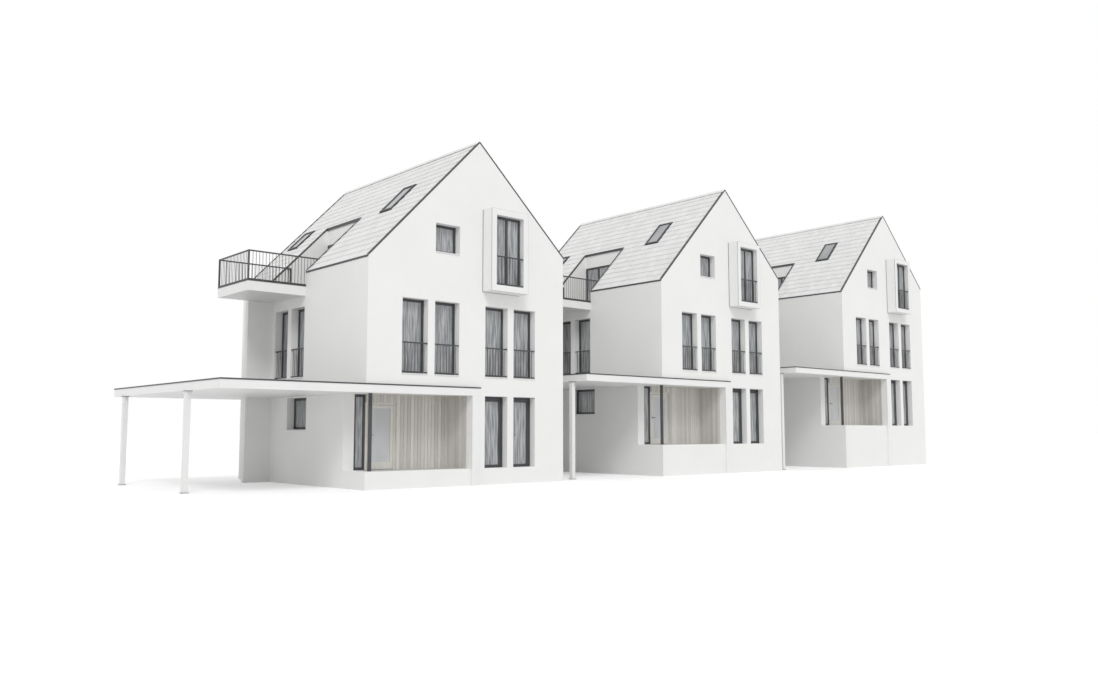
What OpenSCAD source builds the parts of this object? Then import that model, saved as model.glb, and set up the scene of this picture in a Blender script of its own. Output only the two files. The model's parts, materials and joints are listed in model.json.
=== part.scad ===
/* [Row] */
// Gap between the first house's right wall and the second house's carport
gap_2 = 1070; // [300:10:1500]
// Gap between the second house's right wall and the third house's carport
gap_3 = 740; // [300:10:1500]
// Distance by which the third house stands forward of the other two
forward_3 = 240; // [0:10:600]
// Rise of the second house's ground floor above the first one's
rise_2 = 660; // [200:10:1000]
// Rise of the third house's ground floor above the second one's
rise_3 = 800; // [200:10:1200]
// Depth of the walls and posts below the first house's ground floor
base_depth = 530; // [450:10:900]

/* [House] */
// Width of the gable front
house_w = 7750; // [7400:50:8200]
// Depth from the front gable to the back gable
house_d = 8750; // [8600:50:10000]
// Thickness of the outer walls
wall_t = 360; // [300:10:420]
// Height from the ground floor to the first floor
storey_1 = 2920; // [2850:10:3050]
// Height from the first floor to the attic floor, which is the roof terrace's too
storey_2 = 2960; // [2750:10:3050]
// Thickness of the floors and of the balcony slab
floor_t = 320; // [200:10:340]
// Height of the left eave above the attic floor
knee_l = 480; // [350:10:900]
// Height of the right eave above the attic floor
knee_r = 1330; // [900:10:1700]
// Height of the ridge above the attic floor
attic_h = 4700; // [4300:10:5200]
// Distance of the ridge from the left wall
ridge_x = 4070; // [3900:10:4300]

/* [Roof] */
// Depth of the rafters and the lining, measured upright
rafter_t = 300; // [200:10:360]
// Depth of the battens and the tiles, measured upright
tile_t = 100; // [60:10:140]
// Width of a skylight along the eave
skylight_w = 700; // [500:10:1000]
// Length of the front skylight over the ground
skylight_1_run = 940; // [700:10:1000]
// Length of the back skylight over the ground
skylight_2_run = 700; // [500:10:1000]
// Distance of the front skylight from the left wall
skylight_1_x = 1920; // [1600:10:2000]
// Distance of the front skylight from the front gable
skylight_1_y = 1860; // [1200:10:2200]
// Distance of the back skylight from the left wall
skylight_2_x = 1430; // [1000:10:1900]
// Distance of the back skylight from the front gable
skylight_2_y = 7500; // [7000:10:7600]
// Width of a skylight's frame
skylight_frame = 70; // [50:5:100]
// Height of a skylight's frame over the tiles
skylight_lift = 60; // [30:5:100]

/* [Windows] */
// Width of a tall window or garden door
window_w = 930; // [800:10:1000]
// Height of a first-floor window
window_h = 2300; // [2000:10:2400]
// Width of the wall between the two windows of a pair
pair_gap = 255; // [200:5:300]
// Distance of the left pair from the left wall
pair_1_x = 1200; // [900:10:1500]
// Distance of the right pair from the pier of the entrance
pair_2_gap = 230; // [100:10:400]
// Distance of the side windows from the front gable
side_pair_y = 3955; // [3500:5:4100]
// Height of the small attic window's sill above the attic floor
attic_sill = 890; // [700:10:1000]
// Height of the small attic window
attic_window_h = 910; // [600:10:1000]
// Height of the small ground-floor window's sill
small_window_z = 1220; // [1000:10:1300]
// Height of the small ground-floor window
small_window_h = 1040; // [600:10:1060]
// Width of the small ground-floor window
small_window_w = 1340; // [800:10:1500]
// Distance of the small ground-floor window from the front gable
small_window_y = 3700; // [3000:10:4500]
// Distance of the glazing from the wall's outer face
reveal = 250; // [120:10:260]
// Width of a window or door frame's face
frame_w = 70; // [50:5:90]
// Depth of a window or door frame
frame_d = 70; // [50:5:90]
// Thickness of the glass
glass_t = 24; // [16:2:36]
// Number of panes side by side in the window of the projecting frame
bay_panes = 2; // [1:1:3]
// Number of panes side by side in the roof terrace's window
terrace_panes = 3; // [1:1:4]

/* [Projecting window frame] */
// Distance of the projecting frame from the left wall
bay_x = 4230; // [4100:5:4300]
// Width of the projecting frame
bay_w = 1530; // [1400:10:1600]
// Distance of the projecting frame's underside below the attic floor
bay_drop = 200; // [150:5:300]
// Height of the projecting frame
bay_h = 2690; // [2500:10:2800]
// Distance by which the frame stands out of the wall
bay_out = 480; // [300:10:600]
// Thickness of the projecting frame
bay_t = 200; // [120:10:240]
// Distance of the glazing from the projecting frame's front
bay_reveal = 200; // [120:10:260]

/* [Railings] */
// Height of a railing over its floor
rail_h = 960; // [900:10:1100]
// Height and depth of a railing's rails and posts
rail_t = 40; // [30:2:50]
// Thickness of a railing's upright bars
bar_t = 12; // [8:1:20]
// Distance between the bars' centres, at most
bar_step = 110; // [90:5:140]
// Height of a bottom rail over its floor
rail_foot = 20; // [10:5:100]
// Distance of a window's railing from the wall's outer face
rail_inset = 20; // [10:5:60]
// Distance by which the balcony's side railings run in past the roof's surface
rail_past = 140; // [0:10:300]

/* [Balcony and roof terrace] */
// Distance of the terrace from the front gable
terrace_y = 3910; // [3700:10:4100]
// Length of the terrace along the eave
terrace_w = 2350; // [2000:10:2450]
// Distance of the terrace's glazed wall from the left wall
terrace_in = 2000; // [1600:10:2200]
// Distance by which the balcony stands out of the left wall
balcony_out = 1960; // [1500:10:2200]
// Thickness of the terrace's walls
terrace_wall_t = 150; // [100:10:200]
// Height of the lintel over the terrace's window, under the lining
terrace_lintel = 200; // [100:2:300]

/* [Fin wall] */
// Distance by which the fin wall at the balcony's back edge stands out of the left wall
fin_out = 900; // [600:10:1200]
// Thickness of the fin wall
fin_t = 200; // [150:10:300]

/* [Carport] */
// Height of the carport's and the entrance's ceiling
ceiling_z = 2300; // [2280:5:2340]
// Thickness of the carport's roof
carport_t = 250; // [180:10:300]
// Distance by which the first house's carport stands out of the left wall
carport_1_out = 4360; // [3800:10:4500]
// Distance by which the other houses' carports stand out of their left walls
carport_near_out = 4080; // [3800:10:4500]
// Distance from the carport's back edge to the back gable
carport_back = 150; // [100:10:750]
// Distance by which the carport's roof stands in front of the gable
carport_front = 80; // [40:5:200]
// Side of a carport post
post_t = 150; // [100:5:200]
// Distance of the first house's front post from the front gable, to its centre
post_1_y = 2350; // [500:10:3000]
// Distance of the other houses' front posts from the front gable, to their centres
post_1_near_y = 760; // [400:10:3000]
// Distance of the back posts' centres from the carport's back edge
post_2_in = 900; // [800:10:2000]

/* [Entrance] */
// Width of the entrance recess
entry_w = 3800; // [3600:10:3900]
// Depth of the entrance recess
entry_d = 1280; // [900:10:1500]
// Thickness of the recess's back wall
entry_wall_t = 180; // [150:10:240]
// Width of the pier at the right of the recess
pier_w = 320; // [200:10:340]
// Radius of the round column at the open corner
column_r = 60; // [40:5:100]
// Distance of the column's centre from the left wall and the front gable
column_in = 360; // [250:10:400]
// Distance of the entrance door's opening from the left wall
door_x = 770; // [600:10:1200]
// Width of the entrance door's opening
door_w = 1080; // [1000:10:1200]
// Height of the entrance door's opening
door_h = 2060; // [1950:10:2200]

/* [Door leaves] */
// Clearance around a door leaf
leaf_gap = 10; // [8:1:14]
// Thickness of a door leaf
leaf_t = 70; // [50:5:70]
// Width of a garden door's stiles and rails
stile_w = 85; // [60:5:120]
// Width of the entrance door's stiles and top rail
entry_stile_w = 100; // [80:5:160]
// Height of the entrance door's bottom rail
entry_kick_h = 220; // [150:10:400]
// Height of a door handle
handle_z = 1050; // [950:10:1150]
// Length of a door handle
handle_l = 140; // [100:5:160]
// Radius of a hinge pin
pin_r = 6; // [4:0.5:7]
// Radius of a hinge knuckle
knuckle_r = 12; // [10:0.5:15]
// Height of each of a hinge's three knuckles
knuckle_h = 40; // [30:5:60]

/* [Hidden] */
$fn = 48;
far = 20000;
cut = 10;
running_gap = 0.3;
slope_gap = 0.3;
plate_t = 5;
plate_l = 30;
handle_r = 9;
handle_out = 55;
hinge_foot = 250;

HOUSES = [0:2];
pitch_2 = house_w + gap_2 + carport_near_out;
pitch_3 = house_w + gap_3 + carport_near_out;
HOUSE_X = [0, pitch_2, pitch_2 + pitch_3];
HOUSE_Y = [0, 0, -forward_3];
FLOOR_LEVELS = [0, rise_2, rise_2 + rise_3];
CARPORT_OUT = [carport_1_out, carport_near_out, carport_near_out];
FRONT_POST_Y = [post_1_y, post_1_near_y, post_1_near_y];
mid_x = (HOUSE_X[2] + house_w - carport_1_out) / 2;
mid_y = (house_d - bay_out - forward_3) / 2;

first_z = storey_1;
attic_z = first_z + storey_2;
eave_l = attic_z + knee_l;
eave_r = attic_z + knee_r;
ridge_h = attic_z + attic_h;
inner_x = house_w - wall_t;
inner_w = house_w - 2 * wall_t;
inner_d = house_d - 2 * wall_t;
terrace_end = terrace_y + terrace_w;
slab_z = attic_z - floor_t;
slope_l = (ridge_h - eave_l) / ridge_x;
slope_r = (ridge_h - eave_r) / (house_w - ridge_x);
slope_angle = atan(slope_l);
canopy_end = entry_w + pier_w;
carport_d = house_d - carport_back;
post_2_y = carport_d - post_2_in;
window_2_x = pair_1_x + window_w + pair_gap;
pair_2_x = canopy_end + pair_2_gap;
window_4_x = pair_2_x + window_w + pair_gap;
side_window_y = side_pair_y + window_w + pair_gap;
bay_z = attic_z - bay_drop;
bay_inner_x = bay_x + bay_t;
bay_inner_z = bay_z + bay_t;
bay_inner_w = bay_w - 2 * bay_t;
bay_inner_h = bay_h - 2 * bay_t;
terrace_window_h = lining_z(terrace_in) - terrace_lintel - attic_z;
rail_in = max(0, (attic_z + rail_h - eave_l) / slope_l) + rail_past;
garden_doors = [pair_2_x, window_4_x];

// Skylights: place on the slope, length over the ground
SKYLIGHTS = [
    [skylight_1_x, skylight_1_y, skylight_1_run],
    [skylight_2_x, skylight_2_y, skylight_2_run],
];

// Openings: distance along the wall, sill, width, height, panes, and 1 where a railing guards it
PAIRS_X = [pair_1_x, window_2_x, pair_2_x, window_4_x];
FIRST_FLOOR = [for (x = PAIRS_X) [x, first_z, window_w, window_h, 1, 1]];
ATTIC_WINDOW = [window_2_x, attic_z + attic_sill, window_w, attic_window_h, 1, 0];
FRONT = concat(FIRST_FLOOR, [ATTIC_WINDOW]);
SIDE = [
    [side_pair_y, first_z, window_w, window_h, 1, 1],
    [side_window_y, first_z, window_w, window_h, 1, 1],
    [small_window_y, small_window_z, small_window_w, small_window_h, 1, 0],
];
GARDEN_SIDE = [for (x = PAIRS_X) [x, 0, window_w, ceiling_z, 1, 0]];
BACK = concat(FIRST_FLOOR, GARDEN_SIDE, [ATTIC_WINDOW, [pair_2_x, attic_z, window_w, window_h, 1, 1]]);
SIDE_LIGHT = [wall_t, 0, door_x - wall_t, ceiling_z, 1, 0];
BAY_WINDOW = [bay_inner_x, bay_inner_z, bay_inner_w, bay_inner_h, bay_panes, 1];
TERRACE_WINDOW = [terrace_y, attic_z, terrace_w, terrace_window_h, terrace_panes, 0];

// Height of the roof's outer surface at a distance from the left wall
function roof_z(x) = x < ridge_x ? eave_l + slope_l * x : eave_r + slope_r * (house_w - x);
// Height of a wall's top under the tiles, and of one under the lining
function wall_top(x) = roof_z(x) - tile_t - slope_gap;
function lining_z(x) = wall_top(x) - rafter_t;
// Level of the walls' feet in a house's own frame
function base_z(i) = -base_depth - FLOOR_LEVELS[i];

// Moves a house from its own frame, left front corner at the ground floor, to its place in the row
module at_house(i)
    translate([HOUSE_X[i] - mid_x, HOUSE_Y[i] - mid_y, base_depth + FLOOR_LEVELS[i]]) children();

// Places what is drawn with X along a wall, Y into it and Z up on one of the four walls
module on_front() children();
module on_back() translate([0, house_d, 0]) mirror([0, 1, 0]) children();
module on_left() rotate([0, 0, 90]) mirror([0, 1, 0]) children();
module on_right() translate([house_w, 0, 0]) rotate([0, 0, 90]) children();

// Draws an upright outline of X and Z as a solid from y0 to y1
module through(y0, y1)
    translate([0, y1, 0]) rotate([90, 0, 0]) linear_extrude(y1 - y0) children();

module holes(openings)
    for (o = openings) translate([o[0], -cut, o[1]]) cube([o[2], wall_t + 2 * cut, o[3]]);

// Gable wall outline up to the underside of the tiles
module gable(z0)
    polygon([
        [0, z0], [house_w, z0],
        for (x = [house_w, ridge_x, 0]) [x, wall_top(x)],
    ]);

// Front gable above the entrance recess and the garden doors
module front_wall(i) color("whitesmoke") at_house(i)
    difference() {
        through(0, wall_t) gable(ceiling_z);
        on_front() holes(concat(FRONT, [BAY_WINDOW]));
    }

module back_wall(i) color("whitesmoke") at_house(i)
    difference() {
        through(house_d - wall_t, house_d) gable(base_z(i));
        on_back() holes(BACK);
    }

module left_wall(i) color("whitesmoke") at_house(i)
    difference() {
        through(wall_t, house_d - wall_t)
            polygon([[0, base_z(i)], [wall_t, base_z(i)], [wall_t, wall_top(wall_t)], [0, wall_top(0)]]);
        on_left() holes(SIDE);
        translate([-cut, 0, 0]) cube([wall_t + 2 * cut, entry_d, ceiling_z]);
        translate([-cut, terrace_y, slab_z]) cube([wall_t + 2 * cut, terrace_w, far]);
    }

module right_wall(i) color("whitesmoke") at_house(i)
    difference() {
        through(wall_t, house_d - wall_t)
            polygon([
                [inner_x, base_z(i)], [house_w, base_z(i)],
                for (x = [house_w, inner_x]) [x, wall_top(x)],
            ]);
        on_right() holes(SIDE);
    }

// Tiles over the whole house, with the rafters and the lining between the walls
module roof(i) color("gainsboro") at_house(i)
    difference() {
        union() {
            through(0, house_d) roof_layer(0, house_w, 0, tile_t);
            through(wall_t, house_d - wall_t)
                roof_layer(wall_t, inner_x, tile_t / 2, tile_t + rafter_t);
        }
        translate([-cut, terrace_y, slab_z]) cube([terrace_in + cut, terrace_w, far]);
        for (s = SKYLIGHTS)
            at_skylight(s) translate([0, 0, -far / 2]) cube([skylight_l(s), skylight_w, far]);
    }

module roof_layer(x0, x1, top, bottom)
    polygon([
        [x0, roof_z(x0) - top], [ridge_x, ridge_h - top], [x1, roof_z(x1) - top],
        [x1, roof_z(x1) - bottom], [ridge_x, ridge_h - bottom], [x0, roof_z(x0) - bottom],
    ]);

// Length of a skylight up the slope
function skylight_l(s) = s[2] / cos(slope_angle);

// Places what is drawn with X up the left slope, Y along the eave and Z square to the tiles
module at_skylight(s)
    translate([s[0], s[1], roof_z(s[0])]) rotate([0, -slope_angle, 0]) children();

module skylights() color("dimgray")
    for (i = HOUSES, s = SKYLIGHTS) at_house(i) at_skylight(s)
        difference() {
            translate([0, 0, -tile_t]) cube([skylight_l(s), skylight_w, tile_t + skylight_lift]);
            for (z = [-tile_t - cut, skylight_lift - skylight_frame / 2])
                translate([skylight_frame, skylight_frame, z])
                    cube([
                        skylight_l(s) - 2 * skylight_frame,
                        skylight_w - 2 * skylight_frame,
                        z > 0 ? skylight_frame : tile_t + cut,
                    ]);
        }

// Wall below the ground floor and the piers beside the garden doors
module front_bases() color("whitesmoke")
    for (i = HOUSES) at_house(i) through(0, wall_t)
        difference() {
            translate([0, base_z(i)]) square([house_w, ceiling_z - base_z(i)]);
            translate([-cut, 0]) square([entry_w + cut, ceiling_z + cut]);
            for (x = garden_doors) translate([x, 0]) square([window_w, ceiling_z + cut]);
        }

// Back wall, side wall and ceiling of the entrance recess
module entrance_walls() color("burlywood")
    for (i = HOUSES) at_house(i)
        difference() {
            translate([wall_t, wall_t, 0])
                cube([canopy_end - wall_t, entry_d + entry_wall_t - wall_t, first_z - floor_t]);
            translate([0, 0, -cut]) cube([entry_w, entry_d, ceiling_z + cut]);
            translate([0, 0, -cut]) cube([door_x, far, ceiling_z + cut]);
            translate([door_x, 0, -cut]) cube([door_w, far, door_h + cut]);
        }

module floors() color("lightgray")
    for (i = HOUSES, z = [0, first_z, attic_z])
        at_house(i) translate([wall_t, wall_t, z - floor_t]) cube([inner_w, inner_d, floor_t]);

// Outlines of a window's panes, side by side in its opening
module pane_outlines(o) {
    pane_w = (o[2] - frame_w) / o[4] - frame_w;
    for (k = [0:o[4] - 1])
        translate([o[0] + frame_w + k * (pane_w + frame_w), o[1] + frame_w])
            square([pane_w, o[3] - 2 * frame_w]);
}

// Frame of a window in an opening, and its glass
module window_frame(o)
    through(reveal, reveal + frame_d)
        difference() {
            translate([o[0], o[1]]) square([o[2], o[3]]);
            pane_outlines(o);
        }

module window_panes(o)
    through(reveal + (frame_d - glass_t) / 2, reveal + (frame_d + glass_t) / 2) pane_outlines(o);

// Places a window in the projecting frame, beside the entrance door and in the terrace's inner wall
module on_bay(in) translate([0, in - bay_out, 0]) children();
module on_entry() translate([0, entry_d + (entry_wall_t - frame_d) / 2 - reveal, 0]) children();
module on_terrace() translate([terrace_in - reveal, 0, 0]) on_left() children();

module window_frames() color("dimgray")
    for (i = HOUSES) at_house(i) {
        on_front() for (o = FRONT) window_frame(o);
        on_back() for (o = BACK) window_frame(o);
        on_left() for (o = SIDE) window_frame(o);
        on_right() for (o = SIDE) window_frame(o);
        on_bay(bay_reveal - reveal) window_frame(BAY_WINDOW);
        on_entry() window_frame(SIDE_LIGHT);
        on_terrace() window_frame(TERRACE_WINDOW);
    }

module window_glass() color("slategray")
    for (i = HOUSES) at_house(i) {
        on_front() for (o = FRONT) window_panes(o);
        on_back() for (o = BACK) window_panes(o);
        on_left() for (o = SIDE) window_panes(o);
        on_right() for (o = SIDE) window_panes(o);
        on_bay(bay_reveal - reveal) window_panes(BAY_WINDOW);
        on_entry() window_panes(SIDE_LIGHT);
        on_terrace() window_panes(TERRACE_WINDOW);
    }

// Flat frame of white panels around the tall attic window
module projecting_frames() color("whitesmoke")
    for (i = HOUSES) at_house(i)
        translate([bay_x, 0, bay_z]) through(-bay_out, 0)
            difference() {
                square([bay_w, bay_h]);
                translate([bay_t, bay_t]) square([bay_inner_w, bay_inner_h]);
            }

// Flat railing of two rails and upright bars, with a post at each end in the list, 0 or 1
module railing(w, ends) {
    n = ceil((w - 2 * rail_t) / bar_step);
    step = w / n;
    bar_y = (rail_t - bar_t) / 2;
    for (z = [rail_foot, rail_h - rail_t]) translate([0, 0, z]) cube([w, rail_t, rail_t]);
    for (k = [1:n - 1])
        translate([k * step - bar_t / 2, bar_y, rail_foot]) cube([bar_t, bar_t, rail_h - rail_foot]);
    for (e = ends) translate([e * (w - rail_t), 0, 0]) cube([rail_t, rail_t, rail_h]);
}

module window_railing(o)
    translate([o[0], rail_inset, o[1]]) railing(o[2], []);

module guards(openings)
    for (o = openings) if (o[5] == 1) window_railing(o);

// Railings along the balcony's edges: the outer one holds the corner posts, and those at
// the sides run inwards past the roof's surface
module balcony_railing() {
    side_w = balcony_out + rail_in - rail_t - running_gap;
    for (y = [terrace_y, terrace_end - rail_t])
        translate([rail_in - side_w, y, attic_z]) railing(side_w, [1]);
    translate([-balcony_out, terrace_y, attic_z])
        translate([rail_t, 0, 0]) rotate([0, 0, 90]) railing(terrace_w, [0, 1]);
}

module railings() color("dimgray")
    for (i = HOUSES) at_house(i) {
        on_front() guards(FRONT);
        on_back() guards(BACK);
        on_left() guards(SIDE);
        on_right() guards(SIDE);
        on_bay(0) window_railing(BAY_WINDOW);
        balcony_railing();
    }

module balcony_slabs() color("lightgray")
    for (i = HOUSES) at_house(i)
        translate([-balcony_out, terrace_y, slab_z]) cube([balcony_out + wall_t, terrace_w, floor_t]);

// Cheeks of the roof terrace and the lintel over its window, up to the rafters
module terrace_walls() color("whitesmoke")
    for (i = HOUSES) at_house(i)
        difference() {
            through(terrace_y - terrace_wall_t, terrace_end + terrace_wall_t)
                polygon([
                    [wall_t, attic_z], [terrace_in + terrace_wall_t, attic_z],
                    [terrace_in + terrace_wall_t, lining_z(terrace_in + terrace_wall_t)],
                    [wall_t, lining_z(wall_t)],
                ]);
            translate([0, terrace_y, attic_z - cut]) cube([terrace_in, terrace_w, far]);
            translate([0, terrace_y, attic_z - cut]) cube([far, terrace_w, terrace_window_h + cut]);
        }

// Wall that stands square to the left wall, along the balcony's back edge
module fin_walls() color("whitesmoke")
    for (i = HOUSES) at_house(i)
        translate([-fin_out, terrace_end, base_z(i)]) cube([fin_out, fin_t, attic_z - base_z(i)]);

module carport_roofs() color("whitesmoke")
    for (i = HOUSES) at_house(i) translate([0, 0, ceiling_z])
        difference() {
            union() {
                translate([-CARPORT_OUT[i], -carport_front, 0])
                    cube([CARPORT_OUT[i], carport_d + carport_front, carport_t]);
                translate([-cut, -carport_front, 0]) cube([canopy_end + cut, carport_front, carport_t]);
            }
            translate([-fin_out, terrace_end, -cut]) cube([fin_out + cut, fin_t, carport_t + 2 * cut]);
        }

// Square carport posts and the pier at the right of the entrance recess
module posts() color("whitesmoke")
    for (i = HOUSES) at_house(i) {
        for (y = [FRONT_POST_Y[i], post_2_y])
            translate([-CARPORT_OUT[i], y - post_t / 2, base_z(i)])
                cube([post_t, post_t, ceiling_z - base_z(i)]);
        translate([entry_w, -carport_front, base_z(i)]) cube([pier_w, carport_front, ceiling_z - base_z(i)]);
    }

// Round steel columns at the open corners of the entrance recesses
module entrance_columns() color("dimgray")
    for (i = HOUSES) at_house(i)
        translate([column_in, column_in, 0]) cylinder(r = column_r, h = ceiling_z);

// Heights of the hinges on a leaf of height h
function hinge_levels(h) = [hinge_foot, h - hinge_foot - 3 * knuckle_h];

// Fixed half of the hinges, drawn about the pin's axis with the frame towards -X
module fixed_hinges(h)
    for (z = hinge_levels(h)) translate([0, 0, z]) {
        cylinder(r = pin_r, h = 3 * knuckle_h);
        for (k = [0, 2]) translate([0, 0, k * knuckle_h]) hinge_part(-plate_l);
    }

// Knuckle with its plate, which reaches to x1 along the leaf's or the frame's inner face
module hinge_part(x1) {
    cylinder(r = knuckle_r, h = knuckle_h);
    translate([min(0, x1), -knuckle_r, 0]) cube([abs(x1), plate_t, knuckle_h]);
}

module leaf_hinges(h)
    for (z = hinge_levels(h)) translate([0, 0, z + knuckle_h])
        difference() {
            translate([0, 0, running_gap]) intersection() {
                hinge_part(plate_l);
                translate([-far / 2, -far / 2, 0]) cube([far, far, knuckle_h - 2 * running_gap]);
            }
            translate([0, 0, -cut]) cylinder(r = pin_r + running_gap, h = knuckle_h + 2 * cut);
        }

// Frame around a doorway w by h, hinges at its left, with X along the wall and Y into it
module door_frame(w, h) {
    through(0, leaf_t)
        difference() {
            square([w, h]);
            translate([frame_w, -cut]) square([w - 2 * frame_w, h - frame_w + cut]);
        }
    translate([frame_w + leaf_gap / 2, leaf_t + knuckle_r, leaf_gap])
        fixed_hinges(h - frame_w - 2 * leaf_gap);
}

// Door leaf of stiles and rails, open where its glass sits
module leaf(w, h, stile, kick) {
    leaf_w = w - 2 * frame_w - 2 * leaf_gap;
    leaf_h = h - frame_w - 2 * leaf_gap;
    translate([frame_w + leaf_gap, 0, leaf_gap]) {
        through(0, leaf_t)
            difference() {
                square([leaf_w, leaf_h]);
                translate([stile, kick]) square([leaf_w - 2 * stile, leaf_h - kick - stile]);
            }
        translate([-leaf_gap / 2, leaf_t + knuckle_r, 0]) leaf_hinges(leaf_h);
        translate([leaf_w - stile / 2, 0, handle_z]) handle();
    }
}

module leaf_glass(w, h, stile, kick) {
    leaf_w = w - 2 * frame_w - 2 * leaf_gap;
    leaf_h = h - frame_w - 2 * leaf_gap;
    translate([frame_w + leaf_gap + stile, (leaf_t - glass_t) / 2, leaf_gap + kick])
        cube([leaf_w - 2 * stile, glass_t, leaf_h - kick - stile]);
}

// Lever handles on both faces of a leaf
module handle()
    for (y = [-handle_out, leaf_t])
        translate([0, y, 0]) {
            rotate([-90, 0, 0]) cylinder(r = handle_r, h = handle_out);
            translate([handle_r, y < 0 ? handle_r : handle_out - handle_r, 0])
                rotate([0, -90, 0]) cylinder(r = handle_r, h = handle_l);
        }

// Places a door drawn in its own frame in each doorway of a house
module at_entrance(i) at_house(i)
    translate([door_x + door_w, entry_d + (entry_wall_t - leaf_t) / 2, 0]) mirror([1, 0, 0]) children();
module at_garden_left(i) at_house(i) translate([pair_2_x, reveal, 0]) children();
module at_garden_right(i) at_house(i)
    translate([window_4_x + window_w, reveal, 0]) mirror([1, 0, 0]) children();

module entrance_frames() color("burlywood")
    for (i = HOUSES) at_entrance(i) door_frame(door_w, door_h);

module door_frames() color("dimgray")
    for (i = HOUSES) {
        at_garden_left(i) door_frame(window_w, ceiling_z);
        at_garden_right(i) door_frame(window_w, ceiling_z);
    }

module entrance_door(i) color("burlywood") at_entrance(i) leaf(door_w, door_h, entry_stile_w, entry_kick_h);
module entrance_door_glass(i) color("slategray")
    at_entrance(i) leaf_glass(door_w, door_h, entry_stile_w, entry_kick_h);
module garden_door_left(i) color("dimgray") at_garden_left(i) leaf(window_w, ceiling_z, stile_w, stile_w);
module garden_door_left_glass(i) color("slategray")
    at_garden_left(i) leaf_glass(window_w, ceiling_z, stile_w, stile_w);
module garden_door_right(i) color("dimgray") at_garden_right(i) leaf(window_w, ceiling_z, stile_w, stile_w);
module garden_door_right_glass(i) color("slategray")
    at_garden_right(i) leaf_glass(window_w, ceiling_z, stile_w, stile_w);

front_wall(0);  // house_1_front_wall
left_wall(0);  // house_1_left_wall
right_wall(0);  // house_1_right_wall
back_wall(0);  // house_1_back_wall
roof(0);  // house_1_roof
entrance_door(0);  // house_1_entrance_door
entrance_door_glass(0);  // house_1_entrance_door_glass
garden_door_left(0);  // house_1_garden_door_left
garden_door_left_glass(0);  // house_1_garden_door_left_glass
garden_door_right(0);  // house_1_garden_door_right
garden_door_right_glass(0);  // house_1_garden_door_right_glass
front_wall(1);  // house_2_front_wall
left_wall(1);  // house_2_left_wall
right_wall(1);  // house_2_right_wall
back_wall(1);  // house_2_back_wall
roof(1);  // house_2_roof
entrance_door(1);  // house_2_entrance_door
entrance_door_glass(1);  // house_2_entrance_door_glass
garden_door_left(1);  // house_2_garden_door_left
garden_door_left_glass(1);  // house_2_garden_door_left_glass
garden_door_right(1);  // house_2_garden_door_right
garden_door_right_glass(1);  // house_2_garden_door_right_glass
front_wall(2);  // house_3_front_wall
left_wall(2);  // house_3_left_wall
right_wall(2);  // house_3_right_wall
back_wall(2);  // house_3_back_wall
roof(2);  // house_3_roof
entrance_door(2);  // house_3_entrance_door
entrance_door_glass(2);  // house_3_entrance_door_glass
garden_door_left(2);  // house_3_garden_door_left
garden_door_left_glass(2);  // house_3_garden_door_left_glass
garden_door_right(2);  // house_3_garden_door_right
garden_door_right_glass(2);  // house_3_garden_door_right_glass
front_bases();
entrance_walls();
floors();
window_frames();
window_glass();
door_frames();
entrance_frames();
projecting_frames();
railings();
balcony_slabs();
terrace_walls();
skylights();
fin_walls();
carport_roofs();
posts();
entrance_columns();
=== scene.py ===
"""Looks of the row of gabled houses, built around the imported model."""
import json
import math
import random

import bmesh
import bpy
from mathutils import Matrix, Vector

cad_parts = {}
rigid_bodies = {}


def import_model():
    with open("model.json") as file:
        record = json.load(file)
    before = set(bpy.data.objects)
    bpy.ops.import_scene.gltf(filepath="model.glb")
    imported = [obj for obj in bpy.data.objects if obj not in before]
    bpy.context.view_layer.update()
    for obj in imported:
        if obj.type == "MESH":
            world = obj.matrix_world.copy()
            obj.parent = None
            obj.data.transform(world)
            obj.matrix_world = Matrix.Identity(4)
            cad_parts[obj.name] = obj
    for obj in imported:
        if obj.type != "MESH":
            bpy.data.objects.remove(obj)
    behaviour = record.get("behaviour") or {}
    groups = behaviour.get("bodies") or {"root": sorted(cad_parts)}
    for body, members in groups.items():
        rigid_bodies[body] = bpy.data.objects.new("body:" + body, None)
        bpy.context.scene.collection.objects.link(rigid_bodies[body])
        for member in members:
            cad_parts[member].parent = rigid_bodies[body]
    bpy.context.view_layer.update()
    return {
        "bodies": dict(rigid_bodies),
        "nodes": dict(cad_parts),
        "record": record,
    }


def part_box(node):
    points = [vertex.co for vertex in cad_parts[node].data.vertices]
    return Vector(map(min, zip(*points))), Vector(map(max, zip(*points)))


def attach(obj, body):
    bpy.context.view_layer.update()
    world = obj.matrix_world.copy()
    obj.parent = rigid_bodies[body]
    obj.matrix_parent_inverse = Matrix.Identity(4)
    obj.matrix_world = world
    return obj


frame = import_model()
BODY = "houses"
X, Y, Z = Vector((1, 0, 0)), Vector((0, 1, 0)), Vector((0, 0, 1))
rng = random.Random(7)

# Places closer than this are taken as one, in metres
NEAR = 0.01
# A house's carport and balcony lie less than this to the left of its wall
LEFT_REACH = 5

# Height of the entrance recess over the ground floor, in metres
CEILING = 2.30
# Distance of the window frames from the wall's outer face
REVEAL = 0.25
# Thickness of the terrace's walls and of the recess's back wall
TERRACE_WALL, ENTRY_WALL = 0.15, 0.18
# Width of the pier at the right of the recess
PIER = 0.32
# Distance of the recess's side boards from the gable's face
RETURN = 0.22
# Thickness of a door leaf and width of a door frame's face
LEAF, FRAME_W = 0.07, 0.07

# Flat roof tiles, thick at the butt and thin at the head
TILE_W, TILE_GAUGE, TILE_GAP = 0.30, 0.345, 0.004
TILE_BUTT, TILE_HEAD, TILE_ROUND = 0.026, 0.006, 0.006
# Angled ridge tiles, each lapping over the next and rising a little towards it
RIDGE_TILE, RIDGE_ARM, RIDGE_T = 0.42, 0.15, 0.02
RIDGE_LIFT, RIDGE_LAP, RIDGE_RISE = 0.012, 0.004, 0.007
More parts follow.
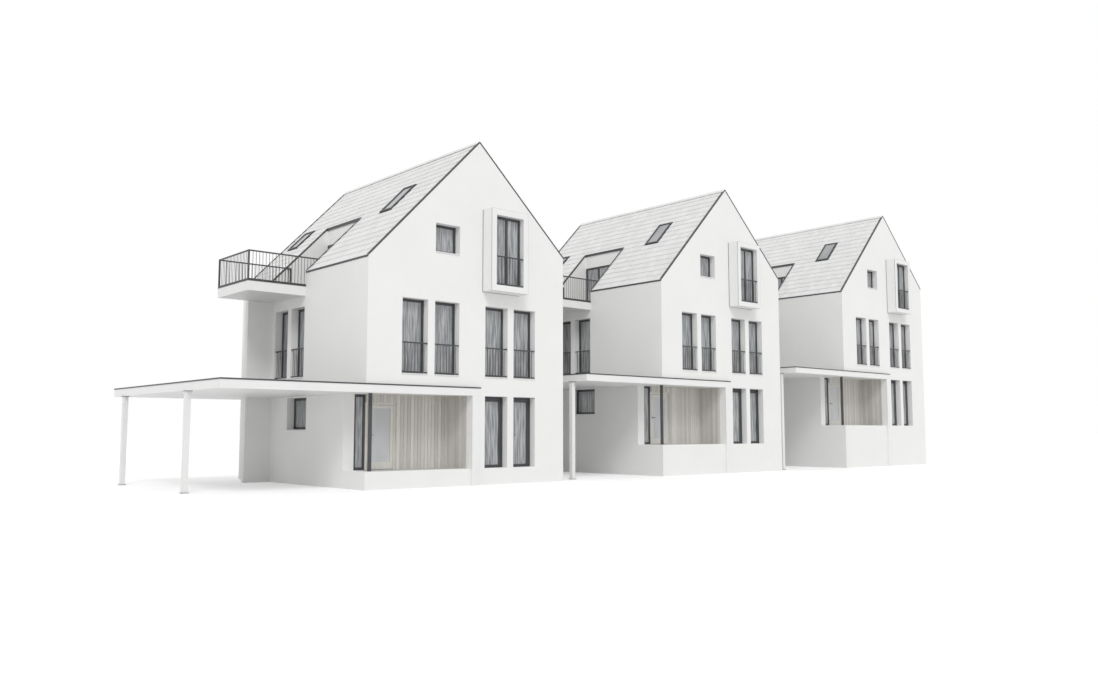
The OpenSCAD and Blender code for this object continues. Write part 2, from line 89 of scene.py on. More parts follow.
# Sheet metal on the edges of the tiles and round the skylights
TRIM_T, TRIM_FACE, TRIM_TOP = 0.010, 0.045, 0.07
TRIM_LIFT, TRIM_SHEET = 0.012, 0.004
EAVE_DROP, EAVE_RISE = 0.05, TILE_BUTT * 0.6
FLASHING_W, FLASHING_T, FLASHING_LIFT = 0.03, 0.006, 0.002
# Upright boards of the entrance recess
BOARD_W, BOARD_GAP, BOARD_T, BOARD_CHAMFER = 0.12, 0.007, 0.02, 0.003

# Camera of the drawing: its place from the first house's front left corner at its ground floor,
# its tilt and turn in degrees, its lens and sensor in millimetres, and how far it sees
CAMERA_PLACE = Vector((-13.956, -23.747, 1.173))
CAMERA_TILT, CAMERA_TURN = 95.182, -41.566
CAMERA_LENS, CAMERA_SENSOR, CAMERA_FAR = 30.49, 36, 1000
# Half the side of the floor
FLOOR_REACH = 400


# Measures taken from the frame

def solids(node):
    """Corner lists of a node's separate solids."""
    mesh = frame["nodes"][node].data
    keys = [tuple(round(c, 4) for c in v.co) for v in mesh.vertices]
    group = {k: k for k in keys}

    def root(k):
        while group[k] != k:
            k = group[k]
        return k
    for p in mesh.polygons:
        first = root(keys[p.vertices[0]])
        for v in p.vertices[1:]:
            group[root(keys[v])] = first
    found = {}
    for k in set(keys):
        found.setdefault(root(k), []).append(Vector(k))
    return sorted(found.values(), key=lambda c: tuple(sum(c, Vector())))


def box_of(corners):
    """Lowest and highest corners of a list of points."""
    return (Vector(min(c[i] for c in corners) for i in range(3)),
            Vector(max(c[i] for c in corners) for i in range(3)))


class Slope:
    """One side of a roof: up runs from the eave to the ridge, normal stands on the tiles."""

    def __init__(self, eave, ridge, depth):
        self.eave, self.depth = eave, depth
        self.length = (ridge - eave).length
        self.up = (ridge - eave).normalized()
        self.normal = self.up.cross(Y)
        if self.normal.z < 0:
            self.normal.negate()
        self.holes = []

    def at(self, u, y, n=0.0):
        """Point at u up the slope, y along the eave and n above the surface."""
        return self.eave + self.up * u + Y * y + self.normal * n

    def flat(self, corners):
        """Extent of corners on the slope: lowest u, highest u, lowest y, highest y."""
        u = [(c - self.eave).dot(self.up) for c in corners]
        y = [c.y - self.eave.y for c in corners]
        return min(u), max(u), min(y), max(y)


class House:
    """One house's slopes, its levels, and the boxes of what belongs to it."""

    def __init__(self, number):
        self.name = f"house_{number}_"
        corners = [v.co for v in frame["nodes"][self.name + "roof"].data.vertices]
        self.low, self.high = box_of(corners)
        self.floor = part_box(self.name + "front_wall")[0].z - CEILING
        self.middle = (self.low + self.high) / 2
        ridge = max(corners, key=lambda c: c.z)
        self.ridge = Vector((ridge.x, self.low.y, ridge.z))
        eave_l = max(c.z for c in corners if c.x < self.low.x + NEAR)
        eave_r = max(c.z for c in corners if c.x > self.high.x - NEAR)
        depth = self.high.y - self.low.y
        self.left = Slope(Vector((self.low.x, self.low.y, eave_l)), self.ridge, depth)
        self.right = Slope(Vector((self.high.x, self.low.y, eave_r)), self.ridge, depth)
        self.carport = self.own_box("carport_roofs")
        self.balcony = self.own_box("balcony_slabs")
        self.fin = self.own_box("fin_walls")
        self.entry = self.own_box("entrance_walls")
        self.terrace_in = self.own_box("terrace_walls")[1].x - TERRACE_WALL
        self.skylights = [self.left.flat(c) for c in self.own("skylights")]
        below_eave = -1
        terrace_u = (self.terrace_in - self.low.x) / self.left.up.x
        y0, y1 = (corner.y - self.low.y for corner in self.balcony)
        self.terrace = (below_eave, terrace_u, y0, y1)
        self.left.holes = self.skylights + [self.terrace]

    def own(self, node):
        """The solids of a shared node that belong to this house."""
        start, end = self.low.x - LEFT_REACH, self.high.x
        return [c for c in solids(node) if start < (sum(c, Vector()) / len(c)).x < end]

    def own_box(self, node):
        """The box of this house's solid of a node, the one with most corners if it has several."""
        return box_of(max(self.own(node), key=len))


# Materials

WHITE = (0.86, 0.86, 0.85)
# Sockets of a Mix node that mixes colours
MIX_FACTOR, MIX_A, MIX_B, MIX_RESULT = 0, 6, 7, 2
# Most of a noise lies between these
NOISE_LOW, NOISE_HIGH = 0.3, 0.7


class Finish:
    """A material with its shader, and short calls for the nodes that feed it."""

    def __init__(self, name, color, rough, specular=0.5):
        self.mat = bpy.data.materials.new(name)
        self.mat.use_nodes = True
        self.tree = self.mat.node_tree
        self.shader = self.tree.nodes["Principled BSDF"]
        self.color = color
        self.shader.inputs["Base Color"].default_value = (*color, 1)
        self.shader.inputs["Roughness"].default_value = rough
        self.shader.inputs["Specular IOR Level"].default_value = specular
        self.coords = self.node("ShaderNodeTexCoord")

    def node(self, kind, **values):
        made = self.tree.nodes.new(kind)
        for key, value in values.items():
            setattr(made, key, value)
        return made

    def link(self, a, b):
        self.tree.links.new(a, b)

    def stretched(self, scale):
        """Object coordinates stretched by three factors."""
        mapping = self.node("ShaderNodeMapping")
        mapping.inputs["Scale"].default_value = scale
        self.link(self.coords.outputs["Object"], mapping.inputs["Vector"])
        return mapping.outputs["Vector"]

    def noise(self, scale, detail=3, stretch=(1, 1, 1)):
        made = self.node("ShaderNodeTexNoise")
        made.inputs["Scale"].default_value = scale
        made.inputs["Detail"].default_value = detail
        self.link(self.stretched(stretch), made.inputs["Vector"])
        return made.outputs["Fac"]

    def remap(self, value, low, high, out_low=0, out_high=1):
        """A value between low and high, moved to lie between two others."""
        made = self.node("ShaderNodeMapRange")
        ends = {"From Min": low, "From Max": high, "To Min": out_low, "To Max": out_high}
        for key, number in ends.items():
            made.inputs[key].default_value = number
        self.link(value, made.inputs["Value"])
        return made.outputs["Result"]

    def mix(self, factor, a, b):
        """A colour between two others, each a colour or a socket."""
        made = self.node("ShaderNodeMix", data_type="RGBA")
        self.link(factor, made.inputs[MIX_FACTOR])
        for socket, value in ((made.inputs[MIX_A], a), (made.inputs[MIX_B], b)):
            if isinstance(value, tuple):
                socket.default_value = (*value, 1)
            else:
                self.link(value, socket)
        return made.outputs[MIX_RESULT]

    def shade(self, factor, amount):
        """The base colour, darker by up to an amount where the factor is high."""
        return self.mix(factor, self.color, darker(self.color, amount))

    def paint(self, socket):
        self.link(socket, self.shader.inputs["Base Color"])

    def roughness(self, value, low, high):
        rough = self.remap(value, NOISE_LOW, NOISE_HIGH, low, high)
        self.link(rough, self.shader.inputs["Roughness"])

    def bump(self, height, strength, distance):
        """Relief on top of what the surface has already."""
        made = self.node("ShaderNodeBump")
        made.inputs["Strength"].default_value = strength
        made.inputs["Distance"].default_value = distance
        self.link(height, made.inputs["Height"])
        surface = self.shader.inputs["Normal"]
        if surface.links:
            self.link(surface.links[0].from_socket, made.inputs["Normal"])
        self.link(made.outputs["Normal"], surface)

    def plaster(self):
        """White mineral render, a little cloudy and grainy."""
        clouds = self.remap(self.noise(scale=0.7, detail=5), low=0.35, high=0.7)
        grain = self.remap(self.noise(scale=240, detail=2), low=0.4, high=0.7)
        cloudy = self.mix(clouds, WHITE, darker(WHITE, 0.035))
        return self.mix(grain, cloudy, darker(WHITE, 0.05))

    def tone(self):
        """The tone that each tile or board has of its own."""
        return self.node("ShaderNodeAttribute", attribute_name="tone").outputs["Fac"]


def darker(color, amount):
    return tuple(c * (1 - amount) for c in color)


def render_finish():
    f = Finish("white_render", WHITE, rough=0.9, specular=0.25)
    f.paint(f.plaster())
    f.bump(f.noise(scale=260, detail=4), strength=0.45, distance=0.0018)
    f.bump(f.noise(scale=9), strength=0.12, distance=0.004)
    return f.mat


def panel_finish():
    f = Finish("white_panel", (0.82, 0.82, 0.815), rough=0.42)
    clouds = f.remap(f.noise(scale=1.3, detail=4), low=0.4, high=0.75)
    f.paint(f.shade(clouds, 0.03))
    f.roughness(f.noise(scale=30), low=0.36, high=0.5)
    f.bump(f.noise(scale=400, detail=2), strength=0.08, distance=0.0005)
    return f.mat


def tile_finish():
    """Finish of the tiles and the socket of its colour, toned by tile and finely speckled."""
    f = Finish("roof_tiles", (0.78, 0.78, 0.775), rough=0.72, specular=0.35)
    by_tile = f.shade(f.tone(), 0.09)
    speckles = f.remap(f.noise(scale=55, detail=4), low=0.45, high=0.75, out_high=0.3)
    f.roughness(f.noise(scale=14), low=0.62, high=0.82)
    f.bump(f.noise(scale=180, detail=4), strength=0.35, distance=0.0015)
    return f, f.mix(speckles, by_tile, (0.64, 0.64, 0.63))


def roof_finish():
    f, tiled = tile_finish()
    f.paint(tiled)
    return f.mat


def roof_core_finish():
    """Tiles on what slopes, and render on the upright faces under them."""
    f, tiled = tile_finish()
    facing_up = f.node("ShaderNodeSeparateXYZ")
    f.link(f.coords.outputs["Normal"], facing_up.inputs["Vector"])
    sloping = f.remap(facing_up.outputs["Z"], low=0.2, high=0.4)
    f.paint(f.mix(sloping, f.plaster(), tiled))
    return f.mat


def timber_finish():
    """Weathered boards with upright grain, each in its own tone."""
    f = Finish("timber_boards", (0.71, 0.69, 0.65), rough=0.68, specular=0.3)
    grain = f.noise(scale=9, detail=6, stretch=(7, 7, 0.45))
    streaks = f.remap(grain, low=0.45, high=0.7, out_high=0.45)
    f.paint(f.mix(streaks, f.shade(f.tone(), 0.24), (0.46, 0.44, 0.41)))
    f.roughness(grain, low=0.6, high=0.8)
    f.bump(f.remap(grain, low=0.38, high=0.66), strength=0.3, distance=0.0012)
    return f.mat


def metal_finish():
    f = Finish("dark_metal", (0.058, 0.061, 0.066), rough=0.42)
    clouds = f.remap(f.noise(scale=2.5), low=0.4, high=0.7)
    f.paint(f.shade(clouds, 0.18))
    f.roughness(f.noise(scale=60), low=0.36, high=0.5)
    f.bump(f.noise(scale=900, detail=2), strength=0.12, distance=0.0004)
    return f.mat


def concrete_finish():
    f = Finish("concrete", (0.55, 0.55, 0.54), rough=0.85, specular=0.3)
    clouds = f.remap(f.noise(scale=3, detail=6), low=0.35, high=0.7)
    f.paint(f.shade(clouds, 0.18))
    f.bump(f.noise(scale=90, detail=5), strength=0.4, distance=0.002)
    return f.mat


def gravel_finish():
    """Rounded stones, with painted shade in the gaps between them."""
    f = Finish("gravel", (0.60, 0.60, 0.58), rough=0.9, specular=0.2)
    stones = f.node("ShaderNodeTexVoronoi")
    stones.inputs["Scale"].default_value = 45
    f.link(f.stretched((1, 1, 1)), stones.inputs["Vector"])
    from_middle = stones.outputs["Distance"]
    # Painted shade: the colour darkens towards the gaps between the stones, where shade falls.
    f.paint(f.shade(f.remap(from_middle, low=0.1, high=0.7), 0.5))
    f.bump(from_middle, strength=0.8, distance=-0.012)
    return f.mat


def glass_finish():
    """Glass streaked upright with painted reflection and the painted shade of curtain folds behind
    it.
    """
    f = Finish("glazing", (0.30, 0.31, 0.32), rough=0.04, specular=0.6)
    # Painted reflection and painted shade of curtain folds: upright light and dark streaks in the
    # glass's colour.
    painted_folds_and_reflection = f.remap(f.noise(scale=5, stretch=(4, 4, 0.25)), low=0.38, high=0.66)
    f.paint(f.mix(painted_folds_and_reflection, (0.20, 0.21, 0.22), (0.46, 0.47, 0.48)))
    f.roughness(f.noise(scale=3, detail=2), low=0.03, high=0.06)
    return f.mat


def skylight_finish():
    """Glass coloured with the painted shade of a dim room behind it."""
    f = Finish("clear_glazing", (0.26, 0.27, 0.28), rough=0.05, specular=0.6)
    # Painted shade of the dim room behind the glass, in soft clouds.
    clouds = f.remap(f.noise(scale=0.8, detail=1), low=0.35, high=0.65)
    f.paint(f.mix(clouds, f.color, (0.34, 0.35, 0.36)))
    f.roughness(f.noise(scale=3, detail=2), low=0.04, high=0.08)
    return f.mat


def satin_finish():
    """Milky glass of the entrance doors."""
    f = Finish("satin_glazing", (0.60, 0.61, 0.62), rough=0.3)
    clouds = f.remap(f.noise(scale=1.6, stretch=(1, 1, 0.5)), low=0.35, high=0.65)
    f.paint(f.shade(clouds, 0.15))
    f.roughness(f.noise(scale=120, detail=2), low=0.26, high=0.36)
    f.bump(f.noise(scale=500, detail=2), strength=0.15, distance=0.0004)
    return f.mat


MATERIALS = {
    "white_render": render_finish(),
    "white_panel": panel_finish(),
    "roof_tiles": roof_finish(),
    "roof_core": roof_core_finish(),
    "timber_boards": timber_finish(),
    "dark_metal": metal_finish(),
    "concrete": concrete_finish(),
    "gravel": gravel_finish(),
    "glazing": glass_finish(),
    "clear_glazing": skylight_finish(),
    "satin_glazing": satin_finish(),
}


def dress_cad():
    """Gives each CAD node the finish of its material slot, or a variant of it."""
    variants = {"_roof": "roof_core", "_entrance_door_glass": "satin_glazing"}
    for sub in frame["record"]["subparts"]:
        node, finish = sub["node"], sub["material_slot"]
        for ending, variant in variants.items():
            if node.endswith(ending):
                finish = variant
        mesh = frame["nodes"][node].data
        mesh.materials.clear()
        mesh.materials.append(MATERIALS[finish])


# Meshes

def rectangle(x0, y0, x1, y1):
    """Outline of a rectangle between two opposite corners."""
    return [(x0, y0), (x1, y0), (x1, y1), (x0, y1)]


def disc(radius):
    """Outline of a round bar or plate."""
    sides = 20
    turns = [2 * math.pi * k / sides for k in range(sides)]
    return [(radius * math.cos(a), radius * math.sin(a)) for a in turns]


class Piece:
    """One object made of straight extrusions, each with a tone of its own."""

    def __init__(self, name, slot, material=None):
        self.name, self.slot = name, slot
        self.material = MATERIALS[material or slot]
        self.bm = bmesh.new()
        self.tone = self.bm.loops.layers.float_color.new("tone")

    def extrude(self, outline, origin, across, upright, along, tone=0.5):
        """Extrudes an outline of (across, upright) points by the vector along."""
        start = [self.bm.verts.new(origin + across * a + upright * b) for a, b in outline]
        end = [self.bm.verts.new(v.co + along) for v in start]
        n = len(outline)
        faces = [self.bm.faces.new(start[::-1]), self.bm.faces.new(end)]
        for k in range(n):
            j = (k + 1) % n
            faces.append(self.bm.faces.new((start[k], start[j], end[j], end[k])))
        for face in faces:
            for loop in face.loops:
                loop[self.tone] = (tone, tone, tone, 1)

    def box(self, low, high, tone=0.5):
        size = Vector(high) - Vector(low)
        self.extrude(rectangle(0, 0, size.x, size.y), Vector(low), X, Y, Z * size.z, tone)

    def done(self, body=BODY):
        """Makes the object, which moves with a body."""
        bmesh.ops.recalc_face_normals(self.bm, faces=self.bm.faces)
        mesh = bpy.data.meshes.new(self.name)
        self.bm.to_mesh(mesh)
        self.bm.free()
        mesh.materials.append(self.material)
        made = bpy.data.objects.new(self.name, mesh)
        bpy.context.scene.collection.objects.link(made)
        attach(made, body)


# Roofs

def without(rect, hole):
    """What is left of a (u0, u1, y0, y1) rectangle outside a hole."""
    u0, u1, y0, y1 = rect
    a, b, c, d = hole
    if u1 <= a or u0 >= b or y1 <= c or y0 >= d:
        return [rect]
    left = []
    if u0 < a:
        left.append((u0, a, y0, y1))
    if u1 > b:
        left.append((b, u1, y0, y1))
    u0, u1 = max(u0, a), min(u1, b)
    if y0 < c:
        left.append((u0, u1, y0, c))
    if y1 > d:
        left.append((u0, u1, d, y1))
    return left


def tiles(house):
    """Flat tiles in courses up both slopes, cut around the terrace and the skylights."""
    piece = Piece(house.name + "tiles", "roof_tiles")
    for slope in (house.left, house.right):
        courses = round(slope.length / TILE_GAUGE)
        gauge = slope.length / courses
        columns = round(slope.depth / TILE_W)
        width = slope.depth / columns
        for course in range(courses):
            shift = (course % 2) / 2
            for column in range(columns + course % 2):
                y0 = max(0, (column - shift) * width)
                y1 = min(slope.depth, (column + 1 - shift) * width)
                tone = rng.random()
                rects = [(course * gauge, (course + 1) * gauge, y0, y1)]
                for hole in slope.holes:
                    rects = [r for rect in rects for r in without(rect, hole)]
                for rect in rects:
                    tile(piece, slope, course * gauge, gauge, rect, tone)
    piece.done()


def tile(piece, slope, start, gauge, rect, tone):
    """A tile, or what a cut leaves of it, in the course that starts at start."""
    u0, u1, y0, y1 = rect
    length, width = u1 - u0, y1 - y0 - TILE_GAP
    if length < TILE_ROUND * 2 or width < TILE_GAP:
        return

    def height(u):
        return TILE_BUTT + (TILE_HEAD - TILE_BUTT) * (u - start) / gauge
    butt, head = height(u0), height(u1)
    outline = [(0, 0), (0, butt - TILE_ROUND), (TILE_ROUND, butt), (length, head), (length, 0)]
    origin = slope.at(u0, y0 + TILE_GAP / 2)
    piece.extrude(outline, origin, slope.up, slope.normal, Y * width, tone)


def ridge_tiles():
    """Angled tiles over the ridge of each roof."""
    piece = Piece("ridge_tiles", "roof_tiles")
    for house in houses:
        left, right = -house.left.up, -house.right.up
        count = round(house.left.depth / RIDGE_TILE)
        length = house.left.depth / count
        lift = Z * (TILE_BUTT + RIDGE_T + RIDGE_LIFT)
        outer = [lift + left * RIDGE_ARM, lift, lift + right * RIDGE_ARM]
        inner = [p - Z * RIDGE_T for p in reversed(outer)]
        outline = [(p.x, p.z) for p in outer + inner]
        along = Y * (length + RIDGE_LAP) + Z * RIDGE_RISE
        for k in range(count):
            start = house.ridge + Y * (k * length)
            piece.extrude(outline, start, X, Z, along, rng.random())
    piece.done()


def edge_trim(piece, slope, y, outward, length):
    """Angle of sheet metal along a cut or a verge, from the eave up."""
    top = TILE_BUTT + TRIM_LIFT
    outline = [
        (TRIM_T, top - TRIM_FACE), (TRIM_T, top), (-TRIM_TOP, top),
        (-TRIM_TOP, top - TRIM_SHEET), (0, top - TRIM_SHEET), (0, top - TRIM_FACE),
    ]
    piece.extrude(outline, slope.at(0, y), outward, slope.normal, slope.up * length)


def eave_trim(piece, slope, outward, y0, y1):
    """Flat strip of sheet metal under the lowest course of tiles."""
    outline = rectangle(0, -EAVE_DROP, TRIM_T, EAVE_RISE)
    piece.extrude(outline, slope.at(0, y0), outward, Z, Y * (y1 - y0))


def flashing(piece, slope, skylight):
    """Four strips of sheet metal on the tiles around a skylight."""
    u0, u1, y0, y1 = skylight
    low_y, high_y = y0 - FLASHING_W, y1 + FLASHING_W
    strips = [
        (u0 - FLASHING_W, u0, low_y, high_y), (u1, u1 + FLASHING_W, low_y, high_y),
        (u0, u1, low_y, y0), (u0, u1, y1, high_y),
    ]
    for a, b, c, d in strips:
        origin = slope.at(a, c, TILE_BUTT + FLASHING_LIFT)
        outline = rectangle(0, 0, b - a, FLASHING_T)
        piece.extrude(outline, origin, slope.up, slope.normal, Y * (d - c))


def roof_trims():
    """Sheet metal on the verges, the eaves, the terrace's cuts and round the skylights."""
    piece = Piece("roof_trims", "dark_metal")
    head_rise = 0.015
    for house in houses:
        for slope in (house.left, house.right):
            edge_trim(piece, slope, 0, -Y, slope.length)
            edge_trim(piece, slope, slope.depth, Y, slope.length)
        _, top_u, y0, y1 = house.terrace
        edge_trim(piece, house.left, y0, Y, top_u)
        edge_trim(piece, house.left, y1, -Y, top_u)
        eave_trim(piece, house.left, -X, 0, y0)
        eave_trim(piece, house.left, -X, y1, house.left.depth)
        eave_trim(piece, house.right, X, 0, house.right.depth)
        head = house.left.at(top_u, y0, TILE_BUTT)
        head_low = head - Vector((TRIM_T, 0, TRIM_FACE * 2))
        piece.box(head_low, head + Vector((0, y1 - y0, head_rise)))
        for skylight in house.skylights:
            flashing(piece, house.left, skylight)
    piece.done()


def skylight_glass():
    """Glass in the frames of the skylights."""
    piece = Piece("skylight_glass", "glazing", "clear_glazing")
    inset, low, thick = 0.07, 0.026, 0.008
    for house in houses:
        slope = house.left
        for u0, u1, y0, y1 in house.skylights:
            outline = rectangle(0, 0, u1 - u0 - 2 * inset, thick)
            origin = slope.at(u0 + inset, y0 + inset, low)
            piece.extrude(outline, origin, slope.up, slope.normal, Y * (y1 - y0 - 2 * inset))
    piece.done()


# Windows and doors

def facing(house, low, high):
    """Outward direction of a thin upright box in a house's walls."""
    size = high - low
    middle = (low + high) / 2
    if size.y < size.x:
        return -Y if middle.y < house.middle.y else Y
    return -X if middle.x < house.middle.x else X


def along_wall(out):
    """Level direction along a wall that faces out."""
    return Y if out.x else X


def outer_corner(low, high, out):
    """Lowest corner of a box's outer face."""
    return Vector((high.x if out.x > 0 else low.x, high.y if out.y > 0 else low.y, low.z))


def beads():
    """Narrow bead round each window pane, set back a little from the frame."""
    piece = Piece("window_beads", "dark_metal")
    width, thick = 0.016, 0.012
    for house in houses:
        for corners in house.own("window_glass"):
            low, high = box_of(corners)
            out = facing(house, low, high)
            along = along_wall(out)
            length, height = (high - low).dot(along), high.z - low.z
            bars = [
                (0, 0, length, width), (0, height - width, length, height),
                (0, width, width, height - width), (length - width, width, length, height - width),
            ]
            for bar in bars:
                origin = outer_corner(low, high, out)
                piece.extrude(rectangle(*bar), origin, along, Z, out * thick)
    piece.done()


def sills():
    """Pale sheet metal sill under each window that stands above the ground floor and the terrace."""
    piece = Piece("window_sills", "white_panel")
    nose, thick, drop = 0.025, 0.006, 0.02
    back_rise, front_rise = 0.016, 0.004
    front = REVEAL + nose
    outline = [
        (0, back_rise), (front, front_rise), (front, -drop), (front - thick, -drop),
        (front - thick, -thick), (REVEAL, -thick), (REVEAL, 0), (0, 0),
    ]
    for house in houses:
        for corners in house.own("window_frames"):
            low, high = box_of(corners)
            out = facing(house, low, high)
            in_wall = low.x > house.low.x - NEAR and low.y > house.low.y - NEAR
            on_terrace = low.x > house.terrace_in - NEAR and out.x < 0
            on_floor = low.z < house.floor + NEAR or on_terrace
            if in_wall and not on_floor:
                along = along_wall(out)
                origin = outer_corner(low, high, out)
                piece.extrude(outline, origin, out, Z, along * (high - low).dot(along))
    piece.done()


def handles(leaf):
    """Roses and rounded levers over the plain handles on both faces of a door leaf."""
    rose, rose_t, cover_t, lever_more = 0.027, 0.008, 0.001, 0.003
    corners = [v.co for v in frame["nodes"][leaf].data.vertices]
    low, high = box_of(corners)
    reach = ((high.y - low.y) - LEAF) / 2
    bar_from = reach * 0.9
    piece = Piece(leaf + "_handles", "dark_metal")
    for face, end in ((low.y + reach, low.y), (high.y - reach, high.y)):
        out = 1 if end > face else -1
        bar_low, bar_high = box_of([c for c in corners if (c.y - face) * out > bar_from])
        radius = (bar_high.z - bar_low.z) / 2
        side = 1 if bar_low.x + bar_high.x < low.x + high.x else -1
        neck = bar_low.x + radius if side > 0 else bar_high.x - radius
        level = (bar_low.z + bar_high.z) / 2
        base = Vector((neck, face, level))
        cover = radius + cover_t
        piece.extrude(disc(rose), base, X, Z, Y * (out * rose_t))
        piece.extrude(disc(cover), base, X, Z, Y * (out * (reach + cover_t)))
        start = Vector((neck - side * cover, end - out * radius, level))
        lever = bar_high.x - bar_low.x + lever_more
        piece.extrude(disc(cover), start, Y, Z, X * (side * lever))
    piece.done(leaf)


def thresholds():
    """Low metal sill on the floor under each door leaf."""
    piece = Piece("door_thresholds", "dark_metal")
    before, rise = 0.03, 0.007
    for node in ("entrance_frames", "door_frames"):
        for corners in solids(node):
            low, high = box_of(corners)
            start = (low.x + FRAME_W, low.y - before, low.z)
            piece.box(start, (high.x - FRAME_W, low.y + LEAF, low.z + rise))
    piece.done()


def frame_trims():
    """Narrow metal edges round the projecting frames, at the wall and at the front."""
    piece = Piece("projecting_frame_trims", "dark_metal")
    wall_w, wall_out = 0.016, 0.006
    front_w, front_out = 0.012, 0.003
    for corners in solids("projecting_frames"):
        low, high = box_of(corners)
        at_wall = (high.y - wall_w, high.y, wall_out)
        at_front = (low.y, low.y + front_w, front_out)
        for y0, y1, out in (at_wall, at_front):
            piece.box((low.x - out, y0, low.z - out), (low.x, y1, high.z + out))
            piece.box((high.x, y0, low.z - out), (high.x + out, y1, high.z + out))
            piece.box((low.x, y0, low.z - out), (high.x, y1, low.z))
            piece.box((low.x, y0, high.z), (high.x, y1, high.z + out))
    piece.done()


# Entrance, carport, balcony and terrace

def boards(piece, origin, along, length, bottom, top, out):
    """Upright boards side by side, with their backs on a wall."""
    count = max(1, round(length / (BOARD_W + BOARD_GAP)))
    step = length / count
    width = step - BOARD_GAP
    thick, c = BOARD_T, BOARD_CHAMFER
    outline = [(0, 0), (width, 0), (width, thick - c), (width - c, thick), (c, thick), (0, thick - c)]
    for k in range(count):
        start = origin + along * (k * step + BOARD_GAP / 2)
        start = Vector((start.x, start.y, bottom))
        piece.extrude(outline, start, along, out, Z * (top - bottom), rng.random())


def entrance_boards():
    """Boards on the walls of the entrance recess, around the door."""
    piece = Piece("entrance_boards", "timber_boards")
    for house in houses:
        inner = house.entry[1]
        wall_y = inner.y - ENTRY_WALL
        side_x = inner.x - PIER
        bottom, top = house.floor, house.floor + CEILING
        door_low, door_high = house.own_box("entrance_frames")
        beside = Vector((door_high.x, wall_y, 0))
        above = Vector((door_low.x, wall_y, 0))
        side = Vector((side_x, house.low.y + RETURN, 0))
        boards(piece, beside, X, side_x - door_high.x, bottom, top, -Y)
        boards(piece, above, X, door_high.x - door_low.x, door_high.z, top, -Y)
        boards(piece, side, Y, wall_y - BOARD_T - (house.low.y + RETURN), bottom, top, -X)
    piece.done()


def carport_edges(piece, house):
    """Metal edges round the carport roof and the canopy along the gable."""
    below, above, t = 0.018, 0.022, TRIM_T
    low, high = house.carport
    wall = house.low
    z0, z1 = high.z - below, high.z + above
    piece.box((low.x - t, low.y - t, z0), (low.x, high.y + t, z1))
    piece.box((low.x, low.y - t, z0), (high.x + t, low.y, z1))
    piece.box((high.x, low.y, z0), (high.x + t, wall.y, z1))
    piece.box((low.x, high.y, z0), (wall.x, high.y + t, z1))


def carport_gravel(piece, house):
    """Gravel between the edges, left of the gable, round the fin wall and on the canopy."""
    low, high = house.carport
    fin, fin_end = house.fin
    wall = house.low
    thick = 0.012
    z0, z1 = high.z, high.z + thick
    piece.box((low.x, low.y, z0), (wall.x, fin.y, z1))
    piece.box((low.x, fin.y, z0), (fin.x, fin_end.y, z1))
    piece.box((low.x, fin_end.y, z0), (wall.x, high.y, z1))
    piece.box((wall.x, low.y, z0), (high.x, wall.y, z1))


def balcony_edges(piece, house):
    """Metal edges round the balcony and the head of the fin wall beside it."""
    below, above, t = 0.016, 0.006, TRIM_T
    low, high = house.balcony
    fin, fin_end = house.fin
    wall = house.low
    z0, z1 = high.z - below, high.z + above
    piece.box((low.x - t, low.y - t, z0), (low.x, high.y + t, z1))
    piece.box((low.x, low.y - t, z0), (wall.x, low.y, z1))
    piece.box((low.x, high.y, z0), (fin.x, high.y + t, z1))
    piece.box((fin.x - t, fin.y + t, z0), (fin.x, fin_end.y + t, z1))
    piece.box((fin.x, fin_end.y, z0), (wall.x, fin_end.y + t, z1))
    piece.box((fin.x, fin.y, high.z), (wall.x, fin_end.y, z1))


def flat_roofs():
    """Gravel and metal edges on the carport roofs, and metal edges round the balconies."""
    edges = Piece("flat_roof_edges", "dark_metal")
    gravel = Piece("flat_roof_gravel", "concrete", "gravel")
    for house in houses:
        carport_edges(edges, house)
        carport_gravel(gravel, house)
        balcony_edges(edges, house)
    edges.done()
    gravel.done()


def decking():
    """Boards on the floor of the balcony and the roof terrace."""
    piece = Piece("terrace_decking", "timber_boards")
    width, gap, thick, margin = 0.138, 0.006, 0.022, 0.05
    for house in houses:
        low, high = house.balcony
        depth = high.y - low.y - 2 * margin
        count = round(depth / (width + gap))
        step = depth / count
        for k in range(count):
            y = low.y + margin + k * step
            end = (house.terrace_in, y + step - gap, high.z + thick)
            piece.box((low.x + margin, y, high.z), end, rng.random())
    piece.done()


def post_plates():
    """Steel plates at the feet and heads of the square carport posts."""
    piece = Piece("post_plates", "dark_metal")
    over, thick = 0.03, 0.012
    for corners in solids("posts"):
        low, high = box_of(corners)
        size = high - low
        if abs(size.x - size.y) < NEAR:
            around = Vector((over, over, 0))
            start, end = low - around, high + around
            piece.box(start, (end.x, end.y, start.z + thick))
            piece.box((start.x, start.y, end.z - thick), end)
    piece.done()


# Floor, light and camera

def seen_by_eye(tree):
    """1 for rays from the camera and for those that mirrors and glass pass on."""
    path = tree.nodes.new("ShaderNodeLightPath")
    total = path.outputs["Is Camera Ray"]
    for name in ("Is Glossy Ray", "Is Transmission Ray"):
        add = tree.nodes.new("ShaderNodeMath")
        add.operation = "MAXIMUM"
        tree.links.new(total, add.inputs[0])
        tree.links.new(path.outputs[name], add.inputs[1])
        total = add.outputs[0]
    return total


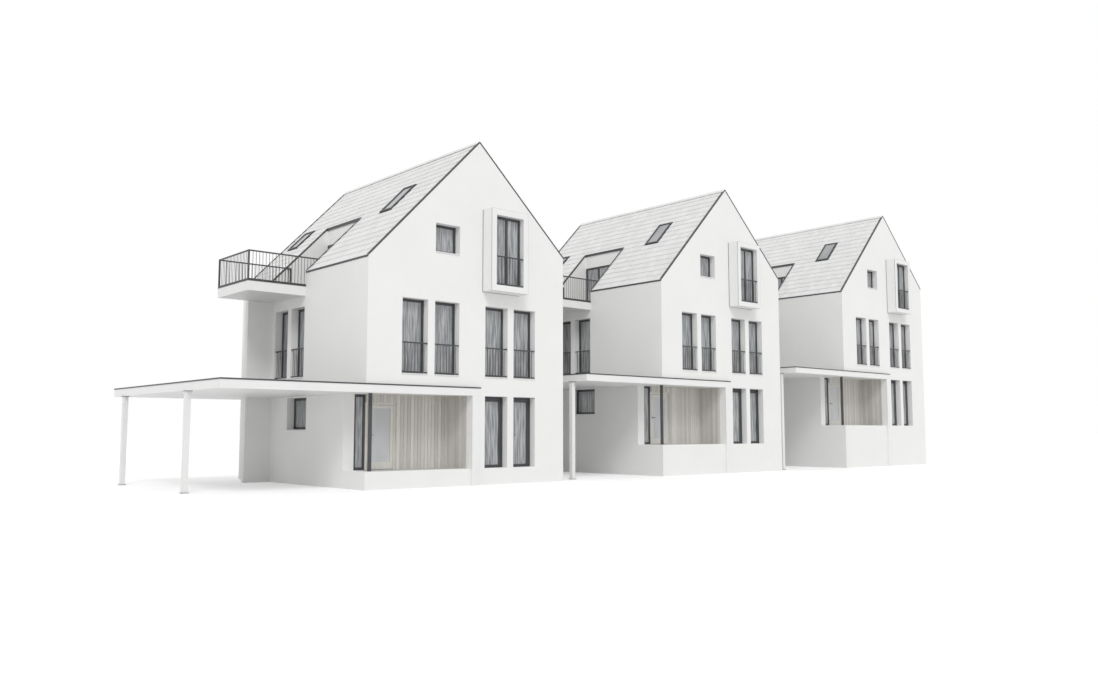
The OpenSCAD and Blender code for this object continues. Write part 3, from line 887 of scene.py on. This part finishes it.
def pale_floor():
    """A large pale floor that looks white where nothing shades it."""
    glow = 0.22
    mesh = bpy.data.meshes.new("floor")
    corners = rectangle(-FLOOR_REACH, -FLOOR_REACH, FLOOR_REACH, FLOOR_REACH)
    mesh.from_pydata([(x, y, 0) for x, y in corners], [], [(0, 1, 2, 3)])
    floor = bpy.data.objects.new("floor", mesh)
    bpy.context.scene.collection.objects.link(floor)
    f = Finish("floor", (0.85, 0.85, 0.85), rough=0.95, specular=0.1)
    f.shader.inputs["Emission Color"].default_value = (1, 1, 1, 1)
    emission = f.remap(seen_by_eye(f.tree), low=0, high=1, out_high=glow)
    f.link(emission, f.shader.inputs["Emission Strength"])
    mesh.materials.append(f.mat)


def white_world():
    """Plain soft light from all sides, and white behind the houses."""
    world = bpy.data.worlds.new("world")
    bpy.context.scene.world = world
    world.use_nodes = True
    nodes, links = world.node_tree.nodes, world.node_tree.links
    sky = nodes["Background"]
    sky.inputs["Color"].default_value = (1, 1, 1, 1)
    sky.inputs["Strength"].default_value = 0.8
    white = nodes.new("ShaderNodeBackground")
    white.inputs["Color"].default_value = (1, 1, 1, 1)
    choose = nodes.new("ShaderNodeMixShader")
    links.new(seen_by_eye(world.node_tree), choose.inputs["Fac"])
    links.new(sky.outputs[0], choose.inputs[1])
    links.new(white.outputs[0], choose.inputs[2])
    links.new(choose.outputs[0], nodes["World Output"].inputs["Surface"])


def key_light():
    """Broad light from the front and the left, like that of a pale sky."""
    lamp = bpy.data.lights.new("key", "SUN")
    lamp.energy = 1.05
    lamp.angle = math.radians(22)
    key = bpy.data.objects.new("key", lamp)
    towards_light = Vector((-0.5, -0.75, 0.85))
    key.rotation_euler = towards_light.to_track_quat("Z", "Y").to_euler()
    bpy.context.scene.collection.objects.link(key)


def camera():
    """Camera at the drawing's viewing angle."""
    data = bpy.data.cameras.new("camera")
    data.lens, data.sensor_width, data.clip_end = CAMERA_LENS, CAMERA_SENSOR, CAMERA_FAR
    made = bpy.data.objects.new("camera", data)
    first = houses[0]
    made.location = Vector((first.low.x, first.low.y, first.floor)) + CAMERA_PLACE
    made.rotation_euler = (math.radians(CAMERA_TILT), 0, math.radians(CAMERA_TURN))
    bpy.context.scene.collection.objects.link(made)
    bpy.context.scene.camera = made


houses = [House(number) for number in (1, 2, 3)]
dress_cad()
camera()
bpy.context.scene.view_settings.view_transform = "Standard"
pale_floor()
white_world()
key_light()
for each in houses:
    tiles(each)
ridge_tiles()
roof_trims()
skylight_glass()
beads()
sills()
entrance_boards()
flat_roofs()
decking()
post_plates()
thresholds()
frame_trims()
for body in sorted(frame["bodies"]):
    if body != BODY:
        handles(body)
